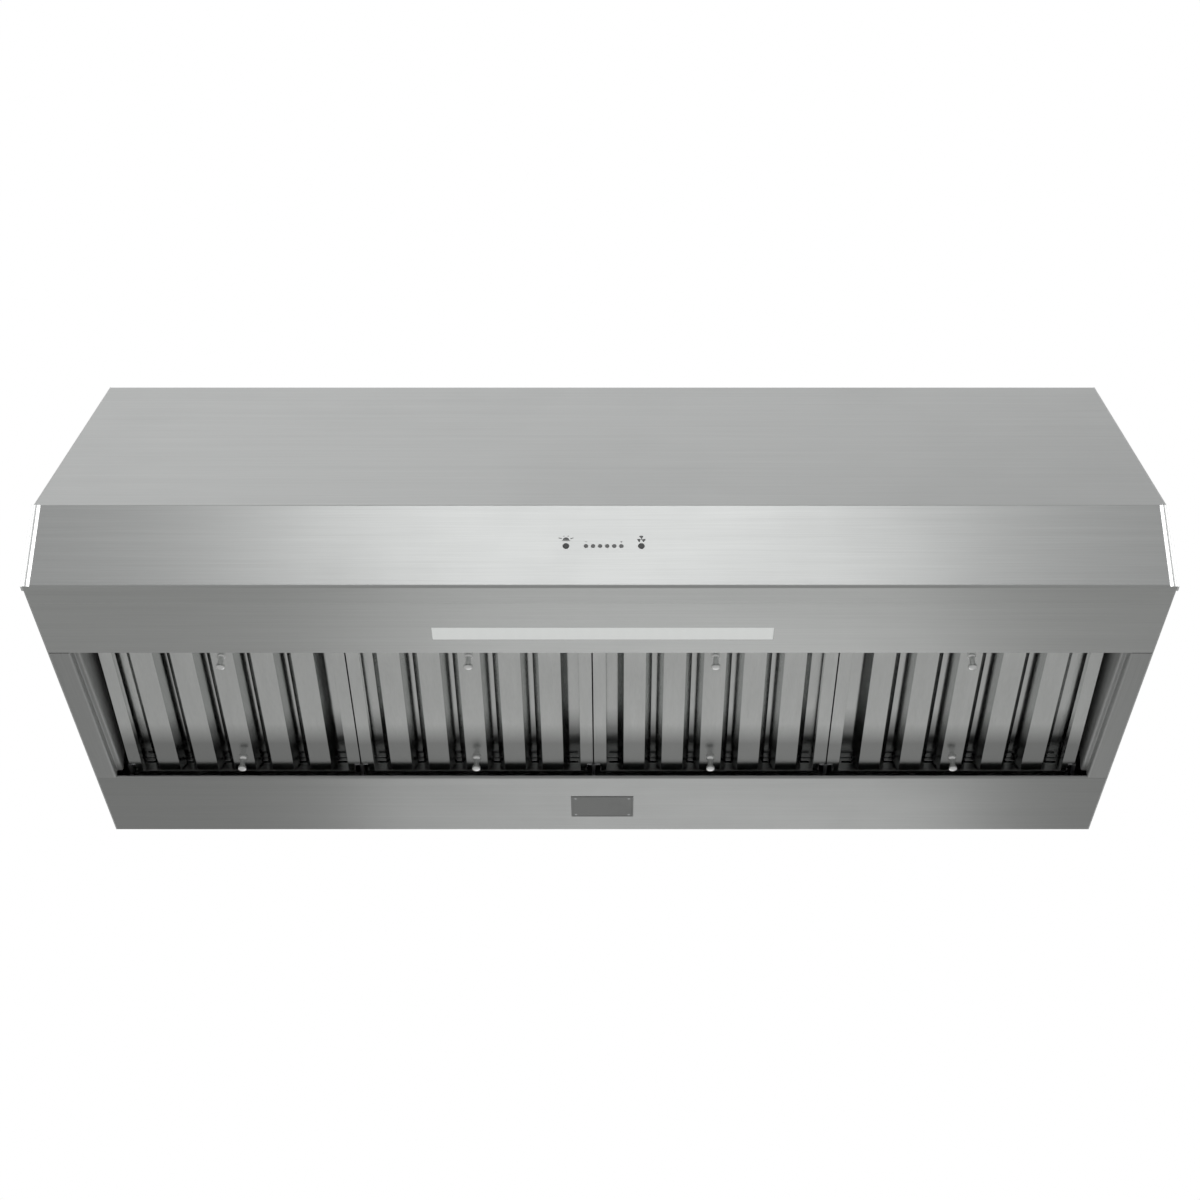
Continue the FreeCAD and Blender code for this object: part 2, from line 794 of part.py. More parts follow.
def scroll_face(extra, outlet):
    """Snail outline about the shaft: three quarter arcs, then a straight throat towards +X."""
    r, g = scroll_radius + extra, scroll_growth
    low = throat_y()[0] - extra
    tongue = Vector(math.sqrt(r * r - low * low), low, 0)
    half = math.sqrt(0.5)
    front, left = Vector(0, -r, 0), Vector(-r - g, g, 0)
    back = Vector(g, r + 3 * g, 0)
    lines = [
        Part.Arc(tongue, Vector(r * half, -r * half, 0), front),
        Part.Arc(front, Vector(-(r + g) * half, g - (r + g) * half, 0), left),
        Part.Arc(left, Vector(g - (r + 2 * g) * half, g + (r + 2 * g) * half, 0), back),
        Part.LineSegment(back, Vector(outlet, back.y, 0)),
        Part.LineSegment(Vector(outlet, back.y, 0), Vector(outlet, low, 0)),
        Part.LineSegment(Vector(outlet, low, 0), tongue),
    ]
    return Part.Face(Part.Wire([line.toShape() for line in lines]))


def scroll_reach():
    """From the blower shaft to the outlet box's side."""
    return blower_spread / 2 - outlet_width / 2


def make_scroll():
    t = scroll_sheet
    solid = scroll_face(t, scroll_reach()).extrude(Vector(0, 0, scroll_height))
    air = scroll_face(0, scroll_reach() + t).extrude(Vector(0, 0, scroll_height - 2 * t))
    air.translate(Vector(0, 0, t))
    solid = solid.cut(air)
    solid = solid.cut(Part.makeCylinder(inlet_radius, 2 * t, Vector(0, 0, -t / 2)))
    solid = solid.cut(Part.makeCylinder(motor_hole, 2 * t, Vector(0, 0, scroll_height - 1.5 * t)))
    solid.translate(Vector(blower_x(), blower_place, scroll_base))
    return solid


def blower_rod(radius, z0, z1):
    return rod(radius, Vector(blower_x(), blower_place, z0), Vector(blower_x(), blower_place, z1))


def make_inlet_ring():
    lip = inlet_radius - inlet_ring_gap
    ring = blower_rod(inlet_radius + inlet_ring_flange, shelf_height - sheet, shelf_height)
    ring = ring.fuse(blower_rod(lip, shelf_height - sheet, scroll_base + inlet_ring_rise))
    return ring.cut(blower_rod(lip - sheet, 0, scroll_top)).removeSplitter()


def wheel_levels():
    low = scroll_base + scroll_sheet + wheel_bottom_gap
    return low, low + wheel_height


def make_wheel_ring():
    """Ring that holds the blades together at the wheel's mouth."""
    low = wheel_levels()[0]
    ring = blower_rod(wheel_radius, low, low + 2 * wheel_sheet)
    return ring.cut(blower_rod(wheel_inner_radius, 0, scroll_top))


def make_wheel():
    """Forward-curved blades between the ring below and a back plate with a hub above."""
    low, high = wheel_levels()
    t = wheel_sheet
    bore = blower_rod(shaft_radius + shaft_seat, 0, scroll_top)
    plate = blower_rod(wheel_radius, high - t, high).fuse(blower_rod(hub_radius, high - hub_length, high))
    root = Vector(wheel_inner_radius + t, 0, low + 2 * t)
    chord = wheel_radius - wheel_inner_radius - 2 * t
    blades = []
    for i in range(wheel_blades):
        blade = Part.makeBox(chord, t, high - low - 3 * t, root)
        blade.rotate(root, Vector(0, 0, 1), blade_angle)
        blade.rotate(Vector(0, 0, 0), Vector(0, 0, 1), 360 / wheel_blades * i)
        blade.translate(Vector(blower_x(), blower_place, 0))
        blades.append(blade)
    return group([plate.cut(bore).removeSplitter()] + blades)


def motor_base():
    return scroll_top + bracket_thick


def make_shaft():
    low = wheel_levels()[1] - hub_length - shaft_tip
    return blower_rod(shaft_radius, low, motor_base() + motor_height - shaft_end_gap)


def make_motor():
    low = motor_base()
    top = low + motor_height
    motor = blower_rod(motor_radius, low, top - motor_shoulder)
    motor = motor.fuse(blower_rod(motor_radius - motor_shoulder, top - motor_shoulder, top))
    for level in motor_rib_levels:
        z = low + level
        motor = motor.fuse(blower_rod(motor_radius + motor_rib, z, z + motor_rib_height))
    return motor.cut(blower_rod(shaft_radius + shaft_clearance, 0, top - motor_cap)).removeSplitter()


def bracket_screw_places():
    r = motor_radius + bracket_screw_place
    return [(blower_x() + r * math.cos(a), blower_place + r * math.sin(a))
            for a in [math.radians(45 + 90 * i) for i in range(4)]]


def make_motor_bracket():
    plate = blower_rod(motor_radius + bracket_leg, scroll_top, motor_base())
    return plate.cut(blower_rod(motor_hole, 0, motor_base() + 1))


def make_motor_screws():
    low = motor_base()
    left = [rod(bracket_screw_radius, Vector(x, y, low), Vector(x, y, low + bracket_screw_head))
            for x, y in bracket_screw_places()]
    return group(left + [mirrored(s) for s in left])


def make_blower_shelf():
    far = slope_inside(shelf_height) + shelf_front_gap
    shelf = box(-inner_half, inner_half, far, bottom_depth - sheet, shelf_height, shelf_top)
    flange = box(-inner_half, inner_half, far, far + sheet, shelf_height - shelf_flange, shelf_height)
    shelf = shelf.fuse(flange).removeSplitter()
    shelf = round_lines(shelf, [(far, shelf_top)], bend + sheet)
    shelf = round_lines(shelf, [(far + sheet, shelf_height)], bend)
    for x in (blower_x(), -blower_x()):
        shelf = shelf.cut(Part.makeCylinder(inlet_radius, 3 * sheet,
                                            Vector(x, blower_place, shelf_height - sheet)))
    x, y = grommet_place()
    return shelf.cut(rod(grommet_radius, Vector(x, y, shelf_height - sheet),
                         Vector(x, y, shelf_top + sheet)))


def make_capacitors():
    solids = []
    y = box_front - capacitor_gap
    for x in (-capacitor_spread / 2, capacitor_spread / 2):
        can = rod(capacitor_radius, Vector(x, y, shelf_top), Vector(x, y, shelf_top + capacitor_length))
        rim = [e for e in can.Edges if e.BoundBox.ZMin > shelf_top + capacitor_length / 2]
        solids.append(can.makeFillet(capacitor_rim, rim))
    return group(solids)


# ---- outlet ----
def make_outlet_box():
    half = outlet_width / 2
    t = sheet
    case = box(-half, half, box_front, box_rear, shelf_top, top_under)
    case = case.cut(box(-half + t, half - t, box_front + t, box_rear - t, 0, hood_height))
    low, high = throat_y()
    window = box(-hood_width, hood_width, blower_place + low, blower_place + high,
                 scroll_base + scroll_sheet, scroll_top - scroll_sheet)
    return case.cut(window)


def duct_rod(radius, z0, z1):
    return rod(radius, Vector(0, duct_y, z0), Vector(0, duct_y, z1))


def flap_axes():
    return [duct_y - flap_offset, duct_y + flap_offset]


def flap_z():
    return hood_height - flap_level


def pin_reach():
    return collar_radius + pin_end


def collar_inside():
    return collar_radius - collar_step - collar_sheet


def make_collar():
    """The duct slips over the wider part above the top panel; the flaps are in the part below."""
    ring = duct_rod(collar_radius - collar_step, hood_height - collar_drop, hood_height)
    ring = ring.fuse(duct_rod(collar_radius, hood_height, hood_height + collar_stand))
    ring = ring.fuse(duct_rod(collar_radius + collar_flange, top_under - collar_sheet, top_under))
    ring = ring.cut(duct_rod(collar_inside(), 0, 2 * hood_height))
    for y in flap_axes():
        ring = ring.cut(rod(flap_pin_radius, Vector(-pin_reach(), y, flap_z()),
                            Vector(pin_reach(), y, flap_z())))
    return ring.removeSplitter()


def make_damper_pins():
    return group([rod(flap_pin_radius, Vector(-pin_reach(), y, flap_z()),
                      Vector(pin_reach(), y, flap_z())) for y in flap_axes()])


def make_flap(front):
    """Half disc on a knuckle around its pin; the front one covers the front half."""
    side = -1 if front else 1
    y = duct_y + side * flap_offset
    z = flap_z()
    disc = duct_rod(collar_inside() - flap_gap, z - flap_thick / 2, z + flap_thick / 2)
    near, far = sorted((y, y + side * hood_width))
    plate = disc.common(box(-hood_width, hood_width, near, far, 0, hood_height))
    half = collar_inside() - flap_tube_gap
    tube = rod(flap_knuckle, Vector(-half, y, z), Vector(half, y, z))
    flap = plate.fuse(tube)
    bore = rod(flap_pin_radius + flap_pin_clearance, Vector(-collar_radius, y, z),
               Vector(collar_radius, y, z))
    room = box(-collar_radius, -half, y - flap_knuckle, y + flap_knuckle, 0, hood_height)
    return flap.cut(bore).cut(room).cut(mirrored(room)).removeSplitter()


def make_damper_seals():
    """Foam ledge that the closed flaps rest just above, open where the pins cross."""
    top = flap_z() - flap_thick / 2 - seal_gap
    outside = duct_rod(collar_inside(), top - seal_height, top)
    ring = outside.cut(duct_rod(collar_inside() - seal_width, 0, hood_height))
    clear = flap_offset + 2 * flap_knuckle
    ring = ring.cut(box(-hood_width, hood_width, duct_y - clear, duct_y + clear, 0, hood_height))
    return group(ring.Solids)


# ---- electrical ----
def junction_box_at(inset, low, high):
    half = junction_width / 2 - inset
    rear = bottom_depth - sheet - inset
    front = bottom_depth - sheet - junction_depth + inset
    return box(knockout_x - half, knockout_x + half, front, rear, low, high)


def make_junction_box():
    low = top_under - junction_height
    t = junction_sheet
    return junction_box_at(0, low, top_under).cut(junction_box_at(t, low - t, top_under + t))


def make_junction_cover():
    low = top_under - junction_height
    return junction_box_at(0, low - junction_sheet, low)


def make_terminal_block():
    low = shelf_top + terminal_rise
    front = box_front - terminal_depth
    block = box(-terminal_width / 2, terminal_width / 2, front, box_front, low, low + terminal_height)
    wide, deep, tall = terminal_pocket
    middle = low + terminal_height / 2
    for i in range(terminal_count):
        x = terminal_pitch * (i - (terminal_count - 1) / 2)
        block = block.cut(box(x - wide / 2, x + wide / 2, front, front + deep, middle - tall / 2,
                              middle + tall / 2))
    return block


def grommet_place():
    return control_centre, slope_inside(shelf_height) + grommet_inset


def make_grommet():
    x, y = grommet_place()
    ring = rod(grommet_radius, Vector(x, y, shelf_height), Vector(x, y, shelf_top))
    for z in (shelf_height - grommet_rim_thick, shelf_top):
        ring = ring.fuse(rod(grommet_radius + grommet_rim, Vector(x, y, z),
                             Vector(x, y, z + grommet_rim_thick)))
    return ring.cut(rod(lead_radius + lead_gap, Vector(x, y, 0), Vector(x, y, scroll_top))).removeSplitter()


def lead(points):
    """Round lead along straight runs joined by arcs as large as the runs allow."""
    spots = [Vector(*p) for p in points]
    edges = []
    start = spots[0]
    for a, b, c in zip(spots, spots[1:], spots[2:]):
        into, out = b - a, c - b
        cut = 0.45 * min(into.Length, out.Length)
        into.normalize()
        out.normalize()
        turn = into.getAngle(out)
        radius = cut / math.tan(turn / 2)
        enter, leave = b - into * cut, b + out * cut
        toward = (out - into).normalize()
        centre = b + toward * math.hypot(cut, radius)
        middle = centre - toward * radius
        edges.append(Part.LineSegment(start, enter).toShape())
        edges.append(Part.Arc(enter, middle, leave).toShape())
        start = leave
    edges.append(Part.LineSegment(start, spots[-1]).toShape())
    ring = Part.Circle(spots[0], spots[1] - spots[0], lead_radius).toShape()
    return Part.Wire(edges).makePipe(Part.Face(Part.Wire([ring])))


def motor_lead(side):
    """From the terminal block over the blower and down onto the motor."""
    x, top = side * blower_spread / 2, motor_base() + motor_height
    y = box_front - 9
    return lead([(side * 34, y, 311), (side * 72, y, 311), (side * 120, y - 2, 338),
                 (side * 180, y + 8, 378), (side * 245, y + 40, 412), (side * 300, y + 72, 428),
                 (x, blower_place - 22, 420), (x, blower_place - 22, top)])


def supply_lead():
    y = box_front - 9
    wall = knockout_x - junction_width / 2
    rear = bottom_depth - sheet - junction_depth / 2
    return lead([(wall, rear, 430), (wall - 45, rear, 430), (wall - 100, rear - 36, 424),
                 (wall - 145, rear - 100, 416), (wall - 180, y + 100, 406), (wall - 205, y + 36, 394),
                 (wall - 245, y - 10, 384), (wall - 305, y - 14, 376), (66, y - 8, 366),
                 (12, y, 350), (12, y, 322)])


def control_lead():
    x, y = grommet_place()
    block_y = box_front - 9
    rear = sheet + control_box_depth + 62 * fascia_lean / fascia_height + 0.2
    return lead([(x, rear, 62), (x, rear + 26, 62), (x + 1, y - 10, 92), (x, y, 128), (x, y, 176),
                 (x - 4, y + 28, 214), (x - 10, y + 76, 244), (x - 14, y + 134, 252),
                 (x - 14, block_y, 262), (x - 14, block_y, 300)])


def lamp_lead():
    x0, y0 = driver_place()[0], driver_front
    end = lamp_centre + lamp_length / 2 + lens_lip + housing_sheet
    y = lamp_front + lamp_width / 2
    return lead([(x0, y0 + 16, 14), (x0 - 16, y0 + 16, 14), (x0 - 26, y, 15), (end, y, 15)])


def make_leads():
    return group([motor_lead(-1), motor_lead(1), supply_lead(), control_lead(), lamp_lead()])


# ---- all the pieces ----
def main():
    os.makedirs("parts", exist_ok=True)
    save("top_panel", make_top_panel())
    save("back_panel", make_back_panel())
    save("front_panel", make_front_panel())
    save("lamp_panel", make_lamp_panel())
    save("rear_panel", make_rear_panel())
    save("grease_trough", make_grease_trough())
    save("blower_shelf", make_blower_shelf())
    save("rating_plate", make_rating_plate())
    save("pivot_posts", make_pivot_posts())
    save("magnet_catches", make_magnet_catches())
    pairs = {"blower_scroll": make_scroll, "blower_wheel": make_wheel, "wheel_ring": make_wheel_ring,
             "blower_shaft": make_shaft, "blower_motor": make_motor}
    for name, make in pairs.items():
        piece = make()
        save("left_" + name, piece)
        save("right_" + name, mirrored(piece))
    twins = {"side_panels": make_side_panel, "side_rails": make_side_rail, "end_trims": make_end_trim,
             "inlet_rings": make_inlet_ring, "motor_brackets": make_motor_bracket}
    for name, make in twins.items():
        piece = make()
        save(name, group([piece, mirrored(piece)]))
    save("lamp_lens", make_lamp_lens())
    save("lamp_housing", make_lamp_housing())
    save("led_board", make_led_board())
    save("lamp_driver", make_lamp_driver())
    save("lamp_button", make_button(button_places()[0]))
    save("fan_button", make_button(button_places()[1]))
    save("button_guide", make_button_guide())
    save("indicator_lenses", make_indicators())
    save("control_board", make_control_board())
    save("control_box", make_control_box())
    save("motor_screws", make_motor_screws())
    save("run_capacitors", make_capacitors())
    save("outlet_box", make_outlet_box())
    save("duct_collar", make_collar())
    save("damper_pins", make_damper_pins())
    save("damper_seals", make_damper_seals())
    save("front_damper_flap", make_flap(True))
    save("rear_damper_flap", make_flap(False))
    save("junction_box", make_junction_box())
    save("junction_cover", make_junction_cover())
    save("terminal_block", make_terminal_block())
    save("lead_grommet", make_grommet())
    save("inner_leads", make_leads())
    edges = bay_edges()
    for i in range(filter_count):
        x0 = edges[i] + filter_gap / 2
        x1 = edges[i + 1] - filter_gap / 2
        name = "filter_" + str(i + 1)
        save(name + "_frame", make_filter_frame(x0, x1))
        save(name + "_baffles", group(lower_baffles(x0, x1) + upper_baffles(x0, x1)))
        save(name + "_knobs", make_knobs(x0, x1))


main()
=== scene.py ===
import json
import math

import bmesh
import bpy
from mathutils import Matrix, Vector

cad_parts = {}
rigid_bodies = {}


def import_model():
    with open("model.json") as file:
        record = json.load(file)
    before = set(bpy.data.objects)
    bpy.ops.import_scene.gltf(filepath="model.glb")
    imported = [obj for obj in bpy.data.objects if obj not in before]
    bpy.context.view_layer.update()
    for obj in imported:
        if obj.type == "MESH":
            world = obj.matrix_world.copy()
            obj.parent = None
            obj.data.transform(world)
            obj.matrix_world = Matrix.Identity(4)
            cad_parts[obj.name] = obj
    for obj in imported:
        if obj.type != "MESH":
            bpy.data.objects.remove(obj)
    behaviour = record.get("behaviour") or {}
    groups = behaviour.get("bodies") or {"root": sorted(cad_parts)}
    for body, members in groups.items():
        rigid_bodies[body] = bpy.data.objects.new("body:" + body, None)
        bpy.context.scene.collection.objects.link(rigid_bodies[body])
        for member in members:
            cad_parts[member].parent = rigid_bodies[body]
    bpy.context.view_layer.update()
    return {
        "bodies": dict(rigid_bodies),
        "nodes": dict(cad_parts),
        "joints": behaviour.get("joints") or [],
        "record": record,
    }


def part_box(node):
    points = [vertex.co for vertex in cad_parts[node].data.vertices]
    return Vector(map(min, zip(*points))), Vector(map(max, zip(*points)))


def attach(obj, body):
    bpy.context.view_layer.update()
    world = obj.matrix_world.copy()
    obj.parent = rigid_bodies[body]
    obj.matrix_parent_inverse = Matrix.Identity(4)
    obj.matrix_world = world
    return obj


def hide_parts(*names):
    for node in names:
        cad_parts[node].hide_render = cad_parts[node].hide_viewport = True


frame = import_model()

nodes = frame["nodes"]
joints = {joint["name"]: joint for joint in frame["joints"]}
mounts = {mount["name"]: mount for mount in frame["record"]["mounts"]}


def mm(value):
    return value / 1000


def cornersOf(node):
    # lowest and highest corner of a node, in millimetres
    return [corner * 1000 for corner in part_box(node)]


def pieceFromBm(name, bm, body, material, smooth=True):
    mesh = bpy.data.meshes.new(name)
    bmesh.ops.recalc_face_normals(bm, faces=bm.faces)
    bm.to_mesh(mesh)
    bm.free()
    piece = bpy.data.objects.new(name, mesh)
    bpy.context.scene.collection.objects.link(piece)
    mesh.materials.append(material)
    if smooth:
        mesh.shade_smooth()
        mesh.set_sharp_from_angle(angle=math.radians(35))
    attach(piece, body)
    return piece


def dress(material, *names):
    for name in names:
        for slot in nodes[name].material_slots:
            slot.material = material


def lathe(bm, profile, steps, matrix):
    # profile of (radius, height) points turned about local Z; it starts and ends on the axis
    rings = []
    for r, h in profile:
        if r == 0:
            rings.append([bm.verts.new(matrix @ Vector((0, 0, h)))])
        else:
            rings.append([bm.verts.new(matrix @ Vector((r * math.cos(t), r * math.sin(t), h)))
                          for t in [2 * math.pi * i / steps for i in range(steps)]])
    for a, b in zip(rings, rings[1:]):
        for i in range(steps):
            j = (i + 1) % steps
            quad = [a[i % len(a)], a[j % len(a)], b[j % len(b)], b[i % len(b)]]
            unique = [v for k, v in enumerate(quad) if v not in quad[:k]]
            bm.faces.new(unique)


def roundedBox(bm, low, high, radius, segments=3, matrix=Matrix.Identity(4)):
    part = bmesh.new()
    size = [h - l for l, h in zip(low, high)]
    middle = [(h + l) / 2 for l, h in zip(low, high)]
    bmesh.ops.create_cube(part, size=1)
    bmesh.ops.scale(part, vec=size, verts=part.verts)
    bmesh.ops.translate(part, vec=middle, verts=part.verts)
    bmesh.ops.bevel(part, geom=part.edges[:], offset=radius, segments=segments, profile=0.5,
                    affect="EDGES", clamp_overlap=True)
    bmesh.ops.transform(part, matrix=matrix, verts=part.verts)
    holder = bpy.data.meshes.new("holder")
    part.to_mesh(holder)
    part.free()
    bm.from_mesh(holder)
    bpy.data.meshes.remove(holder)


def link(tree, source, target):
    tree.links.new(source, target)


def addMath(tree, kind, a, b=None, clamp=False):
    node = tree.nodes.new("ShaderNodeMath")
    node.operation = kind
    node.use_clamp = clamp
    for socket, value in zip(node.inputs, (a, b)):
        if value is None:
            continue
        if isinstance(value, (int, float)):
            socket.default_value = value
        else:
            link(tree, value, socket)
    return node.outputs[0]


def addNoise(tree, vector, scale, detail=3.0, roughness=0.55):
    node = tree.nodes.new("ShaderNodeTexNoise")
    node.inputs["Scale"].default_value = scale
    node.inputs["Detail"].default_value = detail
    node.inputs["Roughness"].default_value = roughness
    link(tree, vector, node.inputs["Vector"])
    return node.outputs["Fac"]


def startGroup(name, inputs, outputs):
    group = bpy.data.node_groups.new(name, "ShaderNodeTree")
    for label, kind, value in inputs:
        socket = group.interface.new_socket(name=label, in_out="INPUT", socket_type=kind)
        if value is not None:
            socket.default_value = value
    for label, kind in outputs:
        group.interface.new_socket(name=label, in_out="OUTPUT", socket_type=kind)
    return group, group.nodes.new("NodeGroupInput").outputs, group.nodes.new("NodeGroupOutput").inputs


def buildBrushing():
    # long fine scratches; Stretch is small along the brushing and large across it
    group, given, out = startGroup(
        "brushing",
        [("Vector", "NodeSocketVector", None), ("Stretch", "NodeSocketVector", (9, 900, 900))],
        [("Shade", "NodeSocketFloat"), ("Height", "NodeSocketFloat")])
    fine = group.nodes.new("ShaderNodeVectorMath")
    fine.operation = "MULTIPLY"
    link(group, given["Vector"], fine.inputs[0])
    link(group, given["Stretch"], fine.inputs[1])
    scratches = addNoise(group, fine.outputs[0], 1.0, 4.0, 0.65)
    bands = addNoise(group, fine.outputs[0], 0.13, 3.0, 0.6)
    both = addMath(group, "ADD", addMath(group, "MULTIPLY", scratches, 0.6),
                   addMath(group, "MULTIPLY", bands, 0.4))
    link(group, both, out["Shade"])
    link(group, scratches, out["Height"])
    return group


def buildEdgeWear():
    # softens sharp sheet edges and gives a mask of where they are rubbed bright
    group, given, out = startGroup(
        "edgeWear",
        [("Vector", "NodeSocketVector", None), ("Reach", "NodeSocketFloat", 0.0008),
         ("Amount", "NodeSocketFloat", 0.6)],
        [("Mask", "NodeSocketFloat"), ("Normal", "NodeSocketVector")])
    soft = group.nodes.new("ShaderNodeBevel")
    soft.samples = 4
    link(group, given["Reach"], soft.inputs["Radius"])
    facing = group.nodes.new("ShaderNodeNewGeometry")
    compare = group.nodes.new("ShaderNodeVectorMath")
    compare.operation = "DOT_PRODUCT"
    link(group, soft.outputs[0], compare.inputs[0])
    link(group, facing.outputs["Normal"], compare.inputs[1])
    turn = addMath(group, "MULTIPLY", addMath(group, "SUBTRACT", 1.0, compare.outputs["Value"]), 6.0)
    broken = addMath(group, "MULTIPLY", turn, addNoise(group, given["Vector"], 90.0, 2.0))
    link(group, addMath(group, "MULTIPLY", broken, given["Amount"], clamp=True), out["Mask"])
    link(group, soft.outputs[0], out["Normal"])
    return group


def buildHandling():
    # faint wiped marks and thin dust that change the gloss from place to place
    group, given, out = startGroup(
        "handling",
        [("Vector", "NodeSocketVector", None), ("Scale", "NodeSocketFloat", 5.0)],
        [("Mask", "NodeSocketFloat")])
    wide = group.nodes.new("ShaderNodeVectorMath")
    wide.operation = "SCALE"
    link(group, given["Vector"], wide.inputs[0])
    link(group, given["Scale"], wide.inputs["Scale"])
    cloudy = addNoise(group, wide.outputs[0], 1.0, 5.0, 0.6)
    link(group, addMath(group, "MULTIPLY", addMath(group, "SUBTRACT", cloudy, 0.45), 3.0, clamp=True),
         out["Mask"])
    return group


brushing = buildBrushing()
edgeWear = buildEdgeWear()
handling = buildHandling()
print("stage: shader groups built")


def startMaterial(name, metallic, roughness):
    material = bpy.data.materials.new(name)
    material.use_nodes = True
    tree = material.node_tree
    shader = tree.nodes["Principled BSDF"]
    shader.inputs["Metallic"].default_value = metallic
    shader.inputs["Roughness"].default_value = roughness
    place = tree.nodes.new("ShaderNodeTexCoord").outputs["Object"]
    return material, tree, shader, place


def placeGroup(tree, group, place, **values):
    node = tree.nodes.new("ShaderNodeGroup")
    node.node_tree = group
    link(tree, place, node.inputs["Vector"])
    for label, value in values.items():
        node.inputs[label].default_value = value
    return node.outputs


def blendColours(tree, factor, first, second):
    node = tree.nodes.new("ShaderNodeMix")
    node.data_type = "RGBA"
    for socket, value in ((node.inputs[0], factor), (node.inputs[6], first), (node.inputs[7], second)):
        if isinstance(value, (int, float)):
            socket.default_value = value
        elif isinstance(value, (tuple, list)):
            socket.default_value = (*value, 1)
        else:
            link(tree, value, socket)
    return node.outputs[2]


def spread(tree, value, low, high):
    node = tree.nodes.new("ShaderNodeMapRange")
    node.inputs["To Min"].default_value = low
    node.inputs["To Max"].default_value = high
    link(tree, value, node.inputs["Value"])
    return node.outputs[0]


def bumpFrom(tree, height, strength, distance, normal=None):
    node = tree.nodes.new("ShaderNodeBump")
    node.inputs["Strength"].default_value = strength
    node.inputs["Distance"].default_value = distance
    link(tree, height, node.inputs["Height"])
    if normal:
        link(tree, normal, node.inputs["Normal"])
    return node.outputs[0]


def brushedSteel(name, look):
    material, tree, shader, place = startMaterial(name, look["metal"], 0.3)
    grain = placeGroup(tree, brushing, place, Stretch=look["stretch"])
    wear = placeGroup(tree, edgeWear, place, Reach=look["edge"], Amount=look["wear"])
    marks = placeGroup(tree, handling, place, Scale=look["markScale"])
    tone = blendColours(tree, spread(tree, grain["Shade"], -0.6, 1.6), look["dark"], look["light"])
    if "rearShadeColour" in look:
        # painted shade: the base colour darkens toward the rear end, where the plates sit in the recess by
        # the rear lip
        along = tree.nodes.new("ShaderNodeSeparateXYZ")
        texture = tree.nodes.new("ShaderNodeTexCoord")
        link(tree, texture.outputs["Generated"], along.inputs[0])
        reach = tree.nodes.new("ShaderNodeMapRange")
        reach.inputs["From Min"].default_value = look["rearShadeStart"]
        reach.inputs["From Max"].default_value = look["rearShadeStop"]
        link(tree, along.outputs[1], reach.inputs["Value"])
        tone = blendColours(tree, reach.outputs[0], tone, look["rearShadeColour"])
    tone = blendColours(tree, wear["Mask"], tone, look["rubbed"])
    link(tree, tone, shader.inputs["Base Color"])
    gloss = addMath(tree, "ADD", spread(tree, grain["Shade"], look["smooth"], look["rough"]),
                    addMath(tree, "MULTIPLY", marks["Mask"], look["haze"]))
    link(tree, gloss, shader.inputs["Roughness"])
    link(tree, bumpFrom(tree, grain["Height"], look["bump"], 0.0002, wear["Normal"]),
         shader.inputs["Normal"])
    if look["anisotropic"]:
        shader.inputs["Anisotropic"].default_value = look["anisotropic"]
        across = tree.nodes.new("ShaderNodeTangent")
        across.direction_type = "RADIAL"
        across.axis = look["grainAxis"]
        link(tree, across.outputs[0], shader.inputs["Tangent"])
    return material


shellLook = {
    "metal": 1.0,
    "stretch": (9, 900, 900), "dark": (0.495, 0.505, 0.5), "light": (0.6, 0.612, 0.605),
    "rubbed": (0.8, 0.81, 0.8), "smooth": 0.29, "rough": 0.34, "haze": 0.04, "bump": 0.1,
    "anisotropic": 0.4, "grainAxis": "X", "edge": 0.0008, "wear": 0.6, "markScale": 4.0,
}
shellSteel = brushedSteel("brushedShellSteel", shellLook)
sideSteel = brushedSteel("brushedSideSteel", {**shellLook, "stretch": (900, 9, 900), "grainAxis": "Y"})
# the side rails are the shell steel made darker and less metallic; the darker base colour is painted shade
railSteelPaintedShade = brushedSteel("dullRailSteelPaintedShade", {
    **shellLook, "metal": 0.35, "stretch": (900, 9, 900), "grainAxis": "Y",
    "dark": (0.36, 0.367, 0.364), "light": (0.44, 0.449, 0.445), "smooth": 0.4, "rough": 0.46})
# the rear panel is the shell steel with a darker base colour: painted shade
rearSteelPaintedShade = brushedSteel("brushedSteelRearPaintedShade", {
    **shellLook, "dark": (0.37, 0.377, 0.374), "light": (0.45, 0.459, 0.455)})
lampPanelSteel = brushedSteel("brushedUndersideSteel", {
    **shellLook, "dark": (0.5, 0.51, 0.505), "light": (0.6, 0.612, 0.605), "anisotropic": 0.15})
# the darker rear colour with its start and stop is painted shade over the rear of the filter plates
filterSteel = brushedSteel("satinFilterSteel", {
    **shellLook, "stretch": (900, 14, 900), "grainAxis": "Y", "dark": (0.64, 0.652, 0.646),
    "light": (0.77, 0.782, 0.776), "rearShadeColour": (0.33, 0.336, 0.333), "rearShadeStart": 0.66, "rearShadeStop": 0.8,
    "smooth": 0.16, "rough": 0.22, "haze": 0.06, "markScale": 9.0, "edge": 0.0005})
polishedSteel = brushedSteel("polishedTrimSteel", {
    **shellLook, "stretch": (400, 400, 9), "dark": (0.84, 0.85, 0.845), "light": (0.92, 0.93, 0.925),
    "rubbed": (0.95, 0.95, 0.95), "smooth": 0.12, "rough": 0.18, "bump": 0.03, "anisotropic": 0.0,
    "edge": 0.0004})
knobSteel = brushedSteel("turnedKnobSteel", {
    **shellLook, "stretch": (500, 500, 900), "dark": (0.86, 0.87, 0.865), "light": (0.95, 0.955, 0.95),
    "smooth": 0.24, "rough": 0.34, "bump": 0.05, "anisotropic": 0.0, "edge": 0.0003})
pinSteel = brushedSteel("zincPinSteel", {
    **shellLook, "stretch": (250, 250, 250), "dark": (0.4, 0.41, 0.42), "light": (0.56, 0.57, 0.58),
    "smooth": 0.32, "rough": 0.45, "anisotropic": 0.0, "edge": 0.0003})


